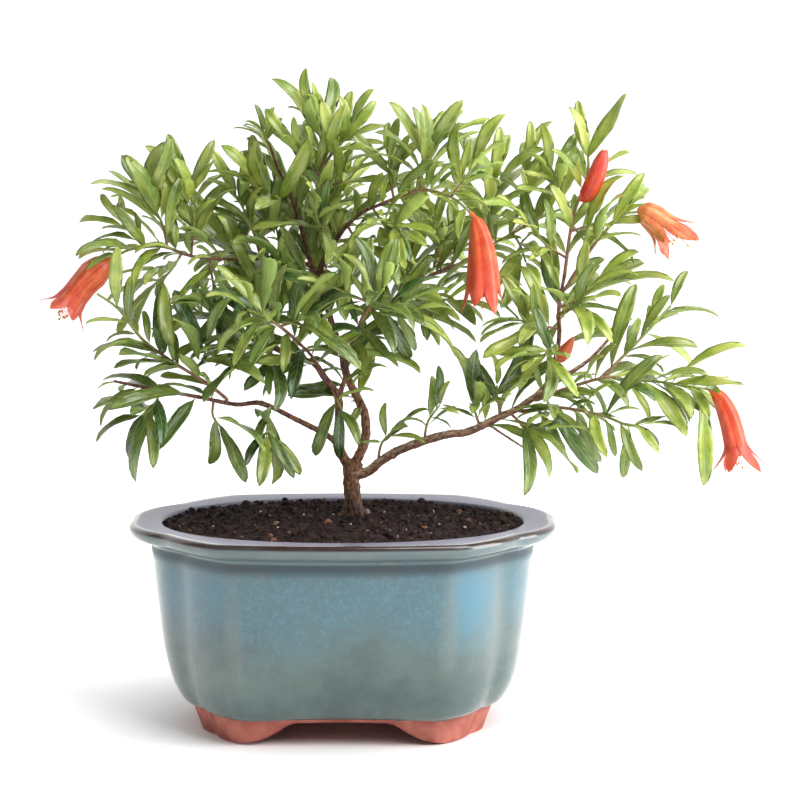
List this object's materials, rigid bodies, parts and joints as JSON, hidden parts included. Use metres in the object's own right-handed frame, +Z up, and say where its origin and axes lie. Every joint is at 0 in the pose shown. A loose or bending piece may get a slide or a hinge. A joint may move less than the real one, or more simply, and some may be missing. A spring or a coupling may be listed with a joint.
{
  "type": "pomegranate bonsai",
  "caption": "Small flowering tree with narrow leaves, a forked bark-covered trunk and hanging bell-like flowers, rooted in soil in a footed glazed oval pot.",
  "frame": {"origin": "bottom centre of the object's box, level with the undersides of the pot's feet", "axes": "+X to the right along the pot's long side as the picture shows it, +Y away from the viewer, +Z up"},
  "size_m": [0.3364, 0.1672, 0.3117],
  "materials": {
    "glaze": "glossy, bare clay at the feet",
    "soil": "rough",
    "screen": "matte",
    "bark": "rough",
    "leaf": "satin",
    "petal": "waxy"
  },
  "bodies": {
    "root": {"bloom_centre": "petal", "bloom_left": "petal", "bloom_right_low": "petal", "bloom_right_upper": "petal", "bud_hidden": "petal", "bud_top": "petal", "drain_screen_left": "screen", "drain_screen_right": "screen", "pot": "glaze", "soil": "soil", "spray_arch_front": "leaf", "spray_arch_low": "leaf", "spray_arching": "leaf", "spray_back_left": "leaf", "spray_back_middle": "leaf", "spray_back_right": "leaf", "spray_diagonal_back": "leaf", "spray_diagonal_end": "leaf", "spray_diagonal_inner": "leaf", "spray_diagonal_low": "leaf", "spray_diagonal_rise": "leaf", "spray_fork_twig": "leaf", "spray_front_left": "leaf", "spray_front_middle": "leaf", "spray_leader_back": "leaf", "spray_leader_front": "leaf", "spray_leader_leaf": "leaf", "spray_leader_right": "leaf", "spray_leader_tip": "leaf", "spray_left_back": "leaf", "spray_left_front": "leaf", "spray_left_inner": "leaf", "spray_left_low_end": "leaf", "spray_left_low_front": "leaf", "spray_left_low_hang": "leaf", "spray_left_mid": "leaf", "spray_left_rise": "leaf", "spray_left_stem_end": "leaf", "spray_left_stem_mid": "leaf", "spray_left_stem_rise": "leaf", "spray_left_top": "leaf", "spray_right_back": "leaf", "spray_right_bloom": "leaf", "spray_right_dark": "leaf", "spray_right_drop": "leaf", "spray_right_far": "leaf", "spray_right_front": "leaf", "spray_right_inner": "leaf", "spray_right_long": "leaf", "spray_right_low": "leaf", "spray_right_pair": "leaf", "spray_right_top": "leaf", "spray_right_twig": "leaf", "spray_right_under": "leaf", "spray_stem_leaf": "leaf", "spray_top": "leaf", "spray_top_front": "leaf", "trunk_and_branches": "bark"}
  },
  "joints": []
}
